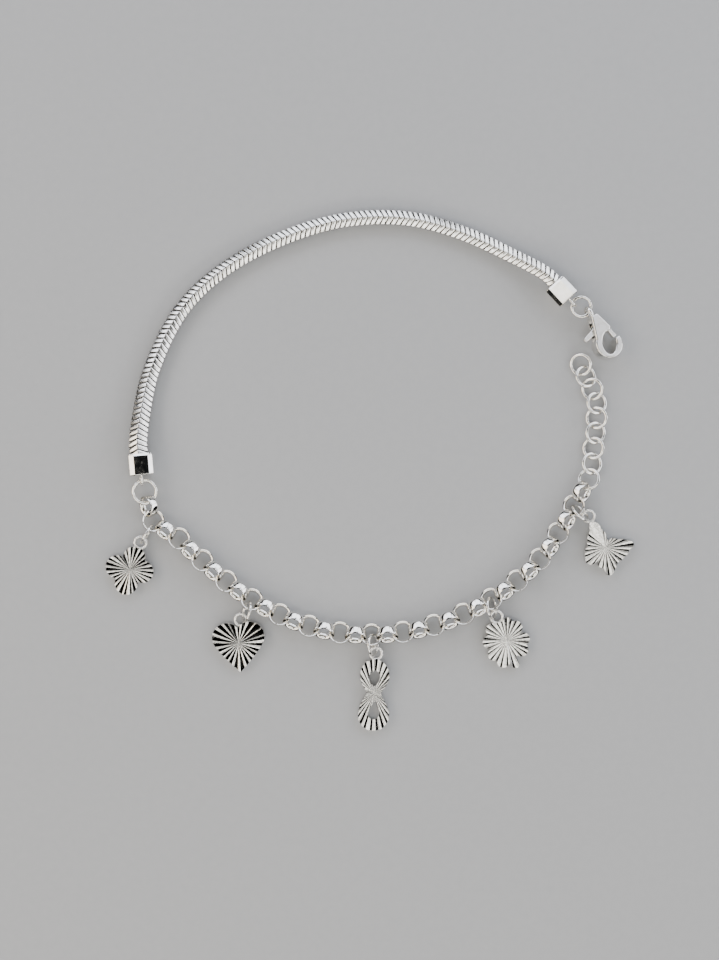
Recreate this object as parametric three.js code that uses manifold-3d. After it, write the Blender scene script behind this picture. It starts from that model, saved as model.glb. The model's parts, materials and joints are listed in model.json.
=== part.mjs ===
// A silver charm bracelet, unfastened and laid in a loop on a flat surface.
// Millimetres, +Z up. The surface is z = 0 and the origin is on it, under the middle of the bracelet.
import * as THREE from "three";
import { mergeVertices } from "three/addons/utils/BufferGeometryUtils.js";
import Module from "manifold-3d";

const wasm = await Module();
wasm.setup();

// ---- driving dimensions ----

const RING_SIDES = 14; // facets round a jump ring
const WIRE_SIDES = 6; // facets round its wire

const SNAKE = {
  pitch: 0.72, // from one scale to the next
  widthAtLeft: 2.5, // the chain is a little wider where it leaves the left end cap
  widthElsewhere: 2.05,
  taperLength: 24,
  heightShare: 0.92, // height over width
  sideShare: 0.4, // how far the flat side reaches up, as a share of the half height
  chevron: 0.5, // how far the middle of a scale leads its sides
  gapShare: 0.22, // the groove's share of the pitch
  grooveShare: 0.86, // the section in the groove over that on the scale
  straight: 1.5, // length of chain that leaves each end cap straight
  rampLength: 11, // over which the chain climbs from the surface to its end cap
};

const CAP = {
  size: 3.25,
  length: 3.0,
  edgeBevel: 0.42,
  rimBevel: 0.14,
  roll: 11.5, // each cap lies rolled, its outer side a little up
  socketDepth: 0.9,
  chainEntry: 0.6, // how far the snake chain reaches into the socket
  socketClearance: 0.16,
  eye: { radius: 0.8, wire: 0.4, reach: 0.55 }, // reach: from the end face to the eye's middle
};

const ROLO = {
  outer: 1.55,
  inner: 1.2,
  band: 1.1, // width of the link's wall
  shoulder: 0.21, // how far the wall is eased off towards its two edges
  sides: 12,
  count: 35,
  standingRoll: 58,
  lyingRoll: -18,
  standingHeight: 1.5, // of the link's middle above the surface
  lyingHeight: 1.36,
};

const CAP_RING = { radius: 1.6, wire: 0.48 };
const CLASP_RING = { radius: 1.36, wire: 0.48 };
const EXTENSION_RING = { radius: 1.41, wire: 0.48 };
const CHARM_RING = { radius: 1.45, wire: 0.38 };

const CHARM = {
  thickness: 0.85,
  groove: 0.2, // depth of the ray-cut grooves at the rim
  eye: { radius: 0.82, wire: 0.42 },
  tilt: 4.5, // each charm lies on its far tip, its eye held up by the jump ring
};

const CLASP = {
  thickness: 2.0,
  bevel: 0.25,
  hook: { x: 6.0, y: 0, radius: 2.0 },
  opening: { x: 5.83, y: 0.12, long: 1.6, short: 1.03, turn: -24.5 },
  neckStart: { x: 1.4, halfWidth: 0.5 },
  shoulder: { x: 3.85, y: 1.42 },
  slot: { from: 1.95, to: 4.75, height: 1.0 },
  pivot: { x: 3.0, y: 0.25, radius: 0.28 },
  leverThickness: 0.84,
  leverBore: 0.37,
  leverBoss: 0.72,
  eye: { x: 0.9, y: -0.2, outer: 1.0, inner: 0.62, width: 0.5 },
};

// Where the pieces lie: x, y, and the heading of their own x axis in degrees.
const LEFT_CAP = { x: -31.95, y: 0.9, heading: -85 };
const RIGHT_CAP = { x: 26.6, y: 25.0, heading: -47 };
const LEFT_RING = { x: -31.33, y: -2.87, z: 1.58, heading: -84, pitch: 5, roll: -2 };
const RIGHT_RING = { x: 29.3, y: 22.8, z: 1.6, heading: -51, pitch: 8, roll: -3 };
const CLASP_PLACE = { x: 30.12, y: 22.81, heading: -62.5, roll: -18 };

// Middle line of the snake chain between its end caps: x, y.
const SNAKE_ROUTE = [
  [-31.75, 7.0],
  [-30.4, 13.8],
  [-26.3, 22.3],
  [-20.8, 27.7],
  [-12.6, 32.2],
  [-3.5, 34.9],
  [5.1, 35.1],
  [12.5, 33.2],
  [19.9, 29.8],
];

// Middle line of the rolo chain, from the left jump ring to the extension: x, y.
const ROLO_ROUTE = [
  [-30.75, -4.85],
  [-30.2, -6.95],
  [-26.9, -9.2],
  [-23.8, -12.1],
  [-17.0, -17.6],
  [-8.5, -21.6],
  [-0.15, -22.8],
  [8.8, -21.5],
  [16.9, -17.8],
  [23.5, -12.4],
  [28.3, -4.9],
  [29.35, -2.9],
];

// The rings of the extension, free end first. They lean to either side by turns, and the last one
// climbs into the standing link that holds it.
const EXTENSION_ROLL = 25;
const EXTENSION = [
  { x: 29.3, y: 14.8 },
  { x: 30.0, y: 13.15 },
  { x: 30.9, y: 11.4 },
  { x: 31.5, y: 9.45 },
  { x: 31.5, y: 7.4 },
  { x: 31.35, y: 5.3 },
  { x: 31.05, y: 3.2, lift: 0.03 },
  { x: 30.85, y: 1.02, pitch: -8, lift: 0.06 },
  { x: 30.37, y: -1.12, pitch: -11, lift: 0.45 },
];

// The charms: ray centre x, y, and the eye's middle from there. Each jump ring leans over its eye.
const CHARMS = [
  {
    name: "quatrefoil", plate: quatrefoil, rays: 38, x: -33.4, y: -13.65, eye: [1.45, 3.75],
    ring: { x: -31.03, y: -8.76, heading: -121, roll: 91 },
  },
  {
    name: "heart", plate: heart, rays: 28, x: -18.3, y: -23.9, eye: [0.3, 3.25],
    ring: { x: -17.17, y: -19.54, heading: -106, roll: 71 },
  },
  {
    name: "infinity", plate: infinity, rays: 20, x: 0.5, y: -30.95, eye: [0.3, 5.65],
    ring: { x: 0.39, y: -24.17, heading: -87, roll: 116, lift: 0.03 },
  },
  {
    name: "clover", plate: clover, rays: 32, x: 18.95, y: -23.5, eye: [-1.4, 3.25],
    ring: { x: 16.88, y: -19.01, heading: -82, roll: 117 },
  },
  {
    name: "butterfly", plate: butterfly, rays: 30, x: 32.7, y: -10.6, eye: [-2.35, 4.35],
    ring: { x: 29.2, y: -5.82, heading: -42, roll: 112, lift: 0.02 },
  },
];

// ---- materials ----

const silver = new THREE.MeshStandardMaterial({ color: 0xdcdcd8, roughness: 0.14, metalness: 1 });
const satinSilver = new THREE.MeshStandardMaterial({ color: 0xc9cac8, roughness: 0.32, metalness: 1 });

// ---- shared helpers ----

const rad = THREE.MathUtils.degToRad;

/** A geometry as a manifold solid, its shared vertices merged. */
function solidOf(geometry) {
  const bare = new THREE.BufferGeometry();
  bare.setAttribute("position", geometry.getAttribute("position"));
  bare.setIndex(geometry.getIndex());
  const merged = mergeVertices(bare, 1e-4);
  return new wasm.Manifold(
    new wasm.Mesh({
      numProp: 3,
      vertProperties: merged.attributes.position.array,
      triVerts: new Uint32Array(merged.index.array),
    }),
  );
}

/** A manifold solid as a three.js geometry. */
function geometryOf(solid) {
  const mesh = solid.getMesh();
  const geometry = new THREE.BufferGeometry();
  geometry.setAttribute("position", new THREE.BufferAttribute(mesh.vertProperties, 3));
  geometry.setIndex(new THREE.BufferAttribute(mesh.triVerts, 1));
  return geometry;
}

/** The geometries joined into one body. */
function fuse(geometries) {
  return geometryOf(geometries.map(solidOf).reduce((whole, piece) => whole.add(piece)));
}

/** The first geometry with the others cut out of it. */
function cut(geometry, ...tools) {
  return geometryOf(tools.map(solidOf).reduce((whole, tool) => whole.subtract(tool), solidOf(geometry)));
}

/** A closed body through a list of rings of points, its two ends closed by flat fans. */
function loft(rings) {
  const sides = rings[0].length;
  const last = rings.length - 1;
  const points = rings.flat();
  const middle = (ring) => ring.reduce((sum, p) => sum.add(p), new THREE.Vector3()).divideScalar(sides);
  const startMiddle = points.push(middle(rings[0])) - 1;
  const endMiddle = points.push(middle(rings[last])) - 1;
  const faces = [];
  for (let j = 0; j < sides; j++) {
    const next = (j + 1) % sides;
    for (let i = 0; i < last; i++) {
      const [a, b] = [i * sides + j, i * sides + next];
      const [c, d] = [a + sides, b + sides];
      faces.push(a, d, b, a, c, d);
    }
    faces.push(startMiddle, j, next, endMiddle, last * sides + next, last * sides + j);
  }
  return new THREE.BufferGeometry().setFromPoints(points).setIndex(faces);
}

/** A ring about +Z, turned from a closed profile of [radius, height] points, counter-clockwise. */
function turned(profile, sides) {
  const closed = [...profile, profile[0]].map(([r, h]) => new THREE.Vector2(r, h));
  return new THREE.LatheGeometry(closed, sides).rotateX(Math.PI / 2);
}

/** A round wire bent into a ring about +Z. */
function wireRing({ radius, wire }, sides = RING_SIDES) {
  const profile = [];
  for (let i = 0; i < WIRE_SIDES; i++) {
    const angle = (2 * Math.PI * i) / WIRE_SIDES;
    profile.push([radius + (wire / 2) * Math.cos(angle), (wire / 2) * Math.sin(angle)]);
  }
  return turned(profile, sides);
}

/** Where a piece lies, as a matrix: turned about +Z last, after its pitch and its roll. */
function placing({ x = 0, y = 0, z = 0, heading = 0, pitch = 0, roll = 0 }) {
  const turn = new THREE.Euler(rad(roll), rad(pitch), rad(heading), "ZYX");
  return new THREE.Matrix4().makeRotationFromEuler(turn).setPosition(x, y, z);
}

function place(object, where) {
  placing(where).decompose(object.position, object.quaternion, object.scale);
  return object;
}

/** Raises or lowers an object until its lowest point is on the surface, or that far above it. */
function settle(object, lift = 0) {
  object.updateMatrixWorld(true);
  object.position.z += lift - new THREE.Box3().setFromObject(object, true).min.z;
  return object;
}

function piece(name, geometry, material = silver) {
  const mesh = new THREE.Mesh(geometry, material);
  mesh.name = name;
  return mesh;
}

// A route that is measured along its length.
function routeThrough(points) {
  const curve = new THREE.CatmullRomCurve3(points.map(([x, y]) => new THREE.Vector3(x, y, 0)));
  curve.arcLengthDivisions = 600;
  return curve;
}

// ---- snake chain and its end caps ----

const capLift = (CAP.size / 2) * Math.cos(rad(CAP.roll)) +
  (CAP.size / 2 - CAP.edgeBevel) * Math.sin(rad(CAP.roll)); // height of a rolled cap's middle

/** A point on a cap's axis, measured from its chain side: inside the cap, or out along the chain. */
function onCapAxis(cap, outward) {
  const back = CAP.length / 2 + outward;
  const heading = rad(cap.heading);
  return [cap.x - back * Math.cos(heading), cap.y - back * Math.sin(heading)];
}

function snakeWidthAt(s) {
  const near = Math.max(0, 1 - s / SNAKE.taperLength);
  return THREE.MathUtils.lerp(SNAKE.widthElsewhere, SNAKE.widthAtLeft, near ** 1.5);
}

/** One ring of the snake chain at s along its route: a hexagon with its ridges up and down. */
function snakeRing(route, s, length, share) {
  const at = (distance) => route.getPointAt(THREE.MathUtils.clamp(distance / length, 0, 1));
  const halfWidth = (snakeWidthAt(s) / 2) * share;
  const halfHeight = (snakeWidthAt(s) / 2) * SNAKE.heightShare;
  const fromEnd = Math.min(s, length - s);
  const level = THREE.MathUtils.smoothstep(fromEnd, 0, SNAKE.rampLength);
  const lift = THREE.MathUtils.lerp(capLift, halfHeight, level);
  const lead = SNAKE.chevron * Math.min(1, fromEnd / (2 * SNAKE.pitch));
  const ridge = halfHeight * share;
  const side = ridge * SNAKE.sideShare;
  const corners = [
    [0, ridge],
    [-halfWidth, side],
    [-halfWidth, -side],
    [0, -ridge],
    [halfWidth, -side],
    [halfWidth, side],
  ];
  return corners.map(([across, up]) => {
    const distance = s + (across === 0 ? lead : 0);
    const tangent = route.getTangentAt(THREE.MathUtils.clamp(distance / length, 0, 1));
    return at(distance).add(new THREE.Vector3(tangent.y * across, -tangent.x * across, lift + up));
  });
}

function snakeChain() {
  const route = routeThrough([
    onCapAxis(LEFT_CAP, -CAP.chainEntry),
    onCapAxis(LEFT_CAP, SNAKE.straight),
    ...SNAKE_ROUTE,
    onCapAxis(RIGHT_CAP, SNAKE.straight),
    onCapAxis(RIGHT_CAP, -CAP.chainEntry),
  ]);
  const length = route.getLength();
  const scales = Math.round(length / SNAKE.pitch);
  const pitch = length / scales;
  const rings = [];
  for (let i = 0; i < scales; i++) {
    rings.push(snakeRing(route, i * pitch, length, 1));
    rings.push(snakeRing(route, (i + 1 - SNAKE.gapShare) * pitch, length, SNAKE.grooveShare));
  }
  return loft(rings);
}

/** A box cap along +X: bevelled, with a socket at its back and an eye on its front. */
function endCap(chainWidth) {
  const half = CAP.size / 2;
  const flat = half - CAP.edgeBevel;
  const section = new THREE.Shape([
    new THREE.Vector2(half, -flat),
    new THREE.Vector2(half, flat),
    new THREE.Vector2(flat, half),
    new THREE.Vector2(-flat, half),
    new THREE.Vector2(-half, flat),
    new THREE.Vector2(-half, -flat),
    new THREE.Vector2(-flat, -half),
    new THREE.Vector2(flat, -half),
  ]);
  const box = new THREE.ExtrudeGeometry(section, {
    depth: CAP.length - 2 * CAP.rimBevel,
    bevelThickness: CAP.rimBevel,
    bevelSize: CAP.rimBevel,
    bevelOffset: -CAP.rimBevel,
    bevelSegments: 1,
  });
  box.translate(0, 0, CAP.rimBevel - CAP.length / 2).rotateY(Math.PI / 2);
  const opening = chainWidth + 2 * CAP.socketClearance;
  const socket = new THREE.BoxGeometry(2 * CAP.socketDepth, opening, opening);
  socket.translate(-CAP.length / 2, 0, 0);
  const eye = wireRing(CAP.eye, 12).rotateX(Math.PI / 2);
  eye.translate(CAP.length / 2 + CAP.eye.reach, 0, 0);
  return fuse([cut(box, socket), eye]);
}

// ---- rolo chain ----

/** A rolo link about +Z, its wall flat inside and eased towards its edges outside. */
function roloLink() {
  const half = ROLO.band / 2;
  const flat = half - ROLO.shoulder;
  const profile = [[ROLO.inner, -half], [ROLO.outer, -flat], [ROLO.outer, flat], [ROLO.inner, half]];
  return turned(profile, ROLO.sides);
}

const roloRoute = routeThrough(ROLO_ROUTE);

/** Where link i of the rolo chain lies: the even ones stand, the odd ones lie. */
function linkPlace(i) {
  const share = i / (ROLO.count - 1);
  const middle = roloRoute.getPointAt(share);
  const tangent = roloRoute.getTangentAt(share);
  const standing = i % 2 === 0;
  return {
    x: middle.x,
    y: middle.y,
    z: standing ? ROLO.standingHeight : ROLO.lyingHeight,
    heading: THREE.MathUtils.radToDeg(Math.atan2(tangent.y, tangent.x)),
    roll: standing ? ROLO.standingRoll : ROLO.lyingRoll,
  };
}

function roloChain() {
  const links = [];
  for (let i = 0; i < ROLO.count; i++) links.push(roloLink().applyMatrix4(placing(linkPlace(i))));
  return fuse(links);
}

// ---- extension ----

function extensionRings() {
  const last = EXTENSION.length - 1;
  return EXTENSION.map((ring, i) => {
    const before = EXTENSION[Math.max(0, i - 1)];
    const after = EXTENSION[Math.min(last, i + 1)];
    const heading = THREE.MathUtils.radToDeg(Math.atan2(after.y - before.y, after.x - before.x));
    const roll = i % 2 ? -EXTENSION_ROLL : EXTENSION_ROLL;
    const made = piece(`extension_ring_${i + 1}`, wireRing(EXTENSION_RING));
    return settle(place(made, { ...ring, heading, roll }), ring.lift);
  });
}

// ---- charms ----

/** The top of a ray-cut plate at rim point i: ridges and grooves by turns. */
const cutHeight = (i) => CHARM.thickness - (i % 2 ? CHARM.groove : 0);

/** A flat plate whose rim is reach(angle) from its middle, its top cut into rays, one of them at first. */
function rayedPlate(reach, rays, first = 0) {
  const steps = 2 * rays;
  const points = [];
  const faces = [];
  for (let i = 0; i < steps; i++) {
    const angle = first + (2 * Math.PI * i) / steps;
    const [x, y] = [reach(angle) * Math.cos(angle), reach(angle) * Math.sin(angle)];
    points.push(new THREE.Vector3(x, y, 0), new THREE.Vector3(x, y, cutHeight(i)));
  }
  const under = points.push(new THREE.Vector3(0, 0, 0)) - 1;
  const top = points.push(new THREE.Vector3(0, 0, cutHeight(0.5))) - 1;
  for (let i = 0; i < steps; i++) {
    const [low, high] = [2 * i, 2 * i + 1];
    const next = (2 * i + 2) % (2 * steps);
    faces.push(low, next, next + 1, low, next + 1, high, under, next, low, top, high, next + 1);
  }
  return new THREE.BufferGeometry().setFromPoints(points).setIndex(faces);
}

/** A flat ring plate between two ellipses, its top cut into rays. */
function rayedLoop(outer, inner, rays) {
  const steps = 2 * rays;
  const points = [];
  const faces = [];
  for (let i = 0; i < steps; i++) {
    const angle = (2 * Math.PI * i) / steps;
    for (const oval of [outer, inner]) {
      const x = oval.x + oval.across * Math.cos(angle);
      const y = oval.y + oval.along * Math.sin(angle);
      points.push(new THREE.Vector3(x, y, 0), new THREE.Vector3(x, y, cutHeight(i)));
    }
  }
  for (let i = 0; i < steps; i++) {
    const [a, b] = [4 * i, (4 * i + 4) % (4 * steps)];
    for (const [p, q] of [[0, 1], [1, 3], [3, 2], [2, 0]]) {
      faces.push(a + p, b + p, b + q, a + p, b + q, a + q);
    }
  }
  return new THREE.BufferGeometry().setFromPoints(points).setIndex(faces);
}

/** Reach of the union of round lobes: each at a distance from the middle, in its own direction. */
function lobedReach(lobes, base) {
  return (angle) => {
    const reaches = lobes.map(({ direction, distance, radius }) => {
      const turn = angle - rad(direction);
      const aside = distance * Math.sin(turn);
      if (Math.cos(turn) < 0 || Math.abs(aside) > radius) return base;
      return distance * Math.cos(turn) + Math.sqrt(radius ** 2 - aside ** 2);
    });
    return Math.max(base, ...reaches);
  };
}

/** Reach of a closed outline round the origin, along each direction. */
function outlineReach(points) {
  return (angle) => {
    const ray = new THREE.Vector2(Math.cos(angle), Math.sin(angle));
    let reach = 0;
    points.forEach((p, i) => {
      const edge = points[(i + 1) % points.length].clone().sub(p);
      const across = ray.cross(edge);
      const share = p.cross(ray) / across;
      const distance = p.cross(edge) / across;
      if (share >= 0 && share <= 1 && distance > reach) reach = distance;
    });
    return reach;
  };
}

function quatrefoil({ rays }) {
  const lobes = [72, 162, 252, 342].map((direction) => ({ direction, distance: 1.8, radius: 1.55 }));
  return rayedPlate(lobedReach(lobes, 1.5), rays);
}

function clover({ rays }) {
  const lobes = [];
  for (const leaf of [74, -10, -114, 160]) {
    for (const side of [-17, 17]) lobes.push({ direction: leaf + side, distance: 2.3, radius: 0.98 });
  }
  for (const distance of [2.2, 3.3]) lobes.push({ direction: -68, distance, radius: 0.62 }); // the stem
  return rayedPlate(lobedReach(lobes, 2.3), rays);
}

/** Two round lobes and two slightly bowed flanks that meet at the tip. */
function heart({ rays }) {
  const lobe = { x: 1.6, y: 0.85, radius: 2.05 };
  const tip = -4.05;
  const lean = rad(-4);
  const notch = Math.acos(-lobe.x / lobe.radius);
  const flank = rad(-28); // where a lobe passes into its flank
  const outline = new THREE.Path();
  outline.moveTo(0, tip);
  outline.quadraticCurveTo(2.3, -1.9, lobe.x + lobe.radius * Math.cos(flank),
    lobe.y + lobe.radius * Math.sin(flank));
  outline.absarc(lobe.x, lobe.y, lobe.radius, flank, notch, false);
  outline.absarc(-lobe.x, lobe.y, lobe.radius, Math.PI - notch, Math.PI - flank, false);
  outline.quadraticCurveTo(-2.3, -1.9, 0, tip);
  const points = outline.getPoints(8);
  points.forEach((p) => p.rotateAround(new THREE.Vector2(), -lean));
  return rayedPlate(outlineReach(points), rays, -Math.PI / 2 - lean);
}

/** Wings, head and tail of the butterfly: degrees from the head's direction, and reach. */
const BUTTERFLY = {
  head: 63,
  rows: [
    { turn: 0, reach: 1.05 },
    { turn: 15, reach: 1.6 },
    { turn: 43, reach: 2.8 },
    { turn: 57, reach: 4.1 },
    { turn: 75, reach: 3.3 },
    { turn: 103, reach: 2.85 },
    { turn: 120, reach: 3.05 },
    { turn: 147, reach: 3.85 },
    { turn: 160, reach: 2.85 },
    { turn: 169, reach: 2.9 },
    { turn: 180, reach: 2.25 },
  ],
};

function butterfly({ rays }) {
  const { head, rows } = BUTTERFLY;
  const corner = (turn, reach) => {
    const direction = rad(head + turn);
    return new THREE.Vector2(reach * Math.cos(direction), reach * Math.sin(direction));
  };
  const left = rows.map(({ turn, reach }) => corner(turn, reach));
  const right = rows.slice(1, -1).reverse().map(({ turn, reach }) => corner(-turn, reach));
  return rayedPlate(outlineReach([...left, ...right]), rays);
}

/** Two egg-shaped loops, one above the other. */
function infinity({ rays }) {
  const upper = rayedLoop(
    { x: 0.05, y: 2.4, across: 2.1, along: 2.75 },
    { x: 0.1, y: 2.25, across: 0.75, along: 1.1 },
    rays,
  );
  const lower = rayedLoop(
    { x: -0.05, y: -2.4, across: 2.17, along: 2.75 },
    { x: -0.05, y: -2.35, across: 0.85, along: 1.3 },
    rays,
  );
  return fuse([upper, lower]);
}

/** A charm with its eye, lying on its far tip, and the jump ring that hangs it on its link. */
function charmPieces(charm) {
  const [eyeX, eyeY] = charm.eye;
  const eye = wireRing(CHARM.eye, 12).translate(eyeX, eyeY, CHARM.thickness / 2);
  const plate = piece(`charm_${charm.name}`, fuse([charm.plate(charm), eye]), satinSilver);
  const towardEye = new THREE.Vector3(eyeX, eyeY, 0).normalize();
  const hinge = towardEye.clone().cross(new THREE.Vector3(0, 0, 1));
  plate.quaternion.setFromAxisAngle(hinge, rad(CHARM.tilt));
  plate.position.set(charm.x, charm.y, 0);
  settle(plate);

  const ring = place(piece(`charm_ring_${charm.name}`, wireRing(CHARM_RING)), charm.ring);
  return [plate, settle(ring, charm.ring.lift)];
}

// ---- clasp ----

/** The clasp seen from above, eye end at x = 0: a wedge that opens into a round hook. */
function claspOutline() {
  const { hook, opening, neckStart, shoulder } = CLASP;
  const outline = new THREE.Shape();
  outline.moveTo(neckStart.x, neckStart.halfWidth);
  outline.lineTo(neckStart.x, -neckStart.halfWidth);
  outline.absarc(hook.x, hook.y, hook.radius, rad(-135), rad(105), false);
  outline.absellipse(opening.x, opening.y, opening.long, opening.short, rad(110), rad(-190), true,
    rad(opening.turn));
  outline.lineTo(shoulder.x, shoulder.y);
  return outline;
}

/** A flat shape made solid, with its middle plane at z = 0. */
function slab(shape, thickness, bevel = 0) {
  const body = new THREE.ExtrudeGeometry(shape, {
    depth: thickness - 2 * bevel,
    bevelEnabled: bevel > 0,
    bevelThickness: bevel,
    bevelSize: bevel,
    bevelOffset: -bevel,
    bevelSegments: 1,
    curveSegments: 10,
  });
  return body.translate(0, 0, bevel - thickness / 2);
}

function claspBody() {
  const { slot, pivot, eye } = CLASP;
  const body = slab(claspOutline(), CLASP.thickness, CLASP.bevel);
  const acrossAll = 3 * CLASP.hook.radius; // more than the clasp is wide
  const slotBox = new THREE.BoxGeometry(slot.to - slot.from, acrossAll, slot.height);
  slotBox.translate((slot.from + slot.to) / 2, 0, 0);
  const pin = new THREE.CylinderGeometry(pivot.radius, pivot.radius, CLASP.thickness, 12);
  pin.rotateX(Math.PI / 2).translate(pivot.x, pivot.y, 0);
  const half = eye.width / 2;
  const loop = turned([[eye.inner, -half], [eye.outer, -half], [eye.outer, half], [eye.inner, half]], 12);
  loop.rotateX(Math.PI / 2).translate(eye.x, eye.y, 0);
  return fuse([cut(body, slotBox), pin, loop]);
}

/** The lever: a boss on the pin, a gate arm that closes the hook and a thumb tab on the other side. */
function claspLever() {
  const { pivot } = CLASP;
  const shape = new THREE.Shape();
  shape.absarc(pivot.x, pivot.y, CLASP.leverBoss, rad(115), rad(240), false);
  shape.lineTo(3.25, -1.35);
  shape.lineTo(3.75, -2.75);
  shape.quadraticCurveTo(4.05, -3.0, 4.35, -2.75);
  shape.lineTo(4.05, -1.35);
  shape.lineTo(3.95, 0.3);
  shape.lineTo(4.5, 1.0);
  shape.lineTo(5.5, 1.25);
  shape.lineTo(5.36, 1.85);
  shape.lineTo(4.3, 1.55);
  const bore = new THREE.Path();
  bore.absarc(pivot.x, pivot.y, CLASP.leverBore, 0, 2 * Math.PI, true);
  shape.holes.push(bore);
  return slab(shape, CLASP.leverThickness);
}

function clasp() {
  const group = new THREE.Group();
  group.add(piece("clasp_body", claspBody()), piece("clasp_lever", claspLever()));
  return settle(place(group, CLASP_PLACE));
}

// ---- assembly ----

const bracelet = new THREE.Group();
bracelet.name = "charm_bracelet";
bracelet.add(piece("snake_chain", snakeChain(), satinSilver));
bracelet.add(place(piece("end_cap_left", endCap(SNAKE.widthAtLeft)),
  { ...LEFT_CAP, z: capLift, roll: -CAP.roll }));
bracelet.add(place(piece("end_cap_right", endCap(SNAKE.widthElsewhere)),
  { ...RIGHT_CAP, z: capLift, roll: CAP.roll }));
bracelet.add(place(piece("cap_ring_left", wireRing(CAP_RING)), LEFT_RING));
bracelet.add(place(piece("cap_ring_right", wireRing(CLASP_RING)), RIGHT_RING));
bracelet.add(piece("rolo_chain", roloChain()));
bracelet.add(...extensionRings());
for (const charm of CHARMS) bracelet.add(...charmPieces(charm));
bracelet.add(clasp());

export default bracelet;
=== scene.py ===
# %% [markdown]
# # A silver charm bracelet, laid in a loop
#
# Half of this bracelet is a snake chain and half is a rolo chain with five ray-cut charms. Box caps, jump
# rings, a lever clasp and a short extension join them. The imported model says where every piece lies. This
# lesson puts finer pieces in those places and gives them silver finishes, so it starts with the model.

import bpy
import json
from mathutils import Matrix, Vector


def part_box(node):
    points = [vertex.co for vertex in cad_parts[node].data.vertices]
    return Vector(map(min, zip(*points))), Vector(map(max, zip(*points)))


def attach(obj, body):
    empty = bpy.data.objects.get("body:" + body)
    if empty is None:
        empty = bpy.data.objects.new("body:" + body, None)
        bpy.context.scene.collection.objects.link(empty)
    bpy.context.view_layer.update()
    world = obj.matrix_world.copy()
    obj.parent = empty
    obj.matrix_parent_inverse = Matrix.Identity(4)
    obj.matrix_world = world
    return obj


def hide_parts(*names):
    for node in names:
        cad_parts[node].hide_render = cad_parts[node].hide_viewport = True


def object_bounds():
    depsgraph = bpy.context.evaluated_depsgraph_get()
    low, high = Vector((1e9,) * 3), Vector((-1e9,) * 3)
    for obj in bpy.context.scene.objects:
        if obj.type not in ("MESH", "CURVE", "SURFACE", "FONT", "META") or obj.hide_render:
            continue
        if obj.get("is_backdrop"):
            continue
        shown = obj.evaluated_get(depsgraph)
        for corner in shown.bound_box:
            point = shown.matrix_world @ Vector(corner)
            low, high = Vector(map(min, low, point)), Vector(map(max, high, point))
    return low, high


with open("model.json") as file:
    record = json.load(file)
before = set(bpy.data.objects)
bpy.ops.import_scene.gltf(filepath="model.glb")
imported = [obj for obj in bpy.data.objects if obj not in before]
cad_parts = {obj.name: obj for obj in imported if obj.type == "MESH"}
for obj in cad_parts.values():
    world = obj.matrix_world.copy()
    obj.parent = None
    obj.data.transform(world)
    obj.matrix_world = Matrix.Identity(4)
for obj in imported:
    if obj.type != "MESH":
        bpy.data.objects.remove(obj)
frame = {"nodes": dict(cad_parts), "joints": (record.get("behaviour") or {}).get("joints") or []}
cad_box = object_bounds()

# %% [markdown]
# ## Units and places
#
# Every length below is in millimetres, because that is how a jeweller measures. Blender works in metres,
# so one matrix shrinks a finished mesh when it is put in its place. An object stays at the origin,
# unturned, and its place is in its mesh: patterns that follow object coordinates then stay where they
# are.

# %% Imports, units and places
import json
import math
import random

import bmesh
import bpy
import numpy as np
from mathutils import Euler, Matrix, Vector

MM = 0.001
scene = bpy.context.scene


def placing(x=0.0, y=0.0, z=0.0, heading=0.0, roll=0.0):
    """A place in millimetres and degrees as a matrix: rolled about X first, then turned to its heading."""
    turn = Euler((math.radians(roll), 0.0, math.radians(heading)), "XYZ")
    return Matrix.Translation((x, y, z)) @ turn.to_matrix().to_4x4()


print("one millimetre is", MM, "m; +X turned by 90 degrees is", placing(heading=90.0).col[0].to_tuple(1))

# %% [markdown]
# ## Nodes from a script
#
# Materials and geometry trees are both made of nodes. In the editor a node is added, set and wired by
# hand; in a script one small function does the three steps, so every tree below reads as a list of what
# it needs.

# %% One function adds a node, with its settings and its links
def node(tree, kind, inputs=None, **settings):
    """Adds a node. Settings are its properties; each input is a value, or a socket to link from."""
    made = tree.nodes.new(kind)
    for name, value in settings.items():
        setattr(made, name, value)
    for key, value in (inputs or {}).items():
        if isinstance(value, bpy.types.NodeSocket):
            tree.links.new(value, made.inputs[key])
        else:
            made.inputs[key].default_value = value
    return made


# A Mix node's inputs for numbers and for colours share their names, so they are told apart by their places.
NUMBER_A, NUMBER_B = 2, 3
COLOUR_A, COLOUR_B = 6, 7
MIXED_NUMBER, MIXED_COLOUR = 0, 2

# %% [markdown]
# A colour is written in sRGB hex, as a colour picker shows it. Light adds up in linear values, so every
# colour below goes through one function on its way into a node.

# %% Colours
def linear(colour):
    """An sRGB hex colour such as "f2f0ea" as linear red, green, blue and alpha."""
    parts = [int(colour[i : i + 2], 16) / 255 for i in (0, 2, 4)]
    return (*(c / 12.92 if c <= 0.04045 else ((c + 0.055) / 1.055) ** 2.4 for c in parts), 1.0)


print("mid grey as linear light is", [round(c, 3) for c in linear("808080")])
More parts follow.
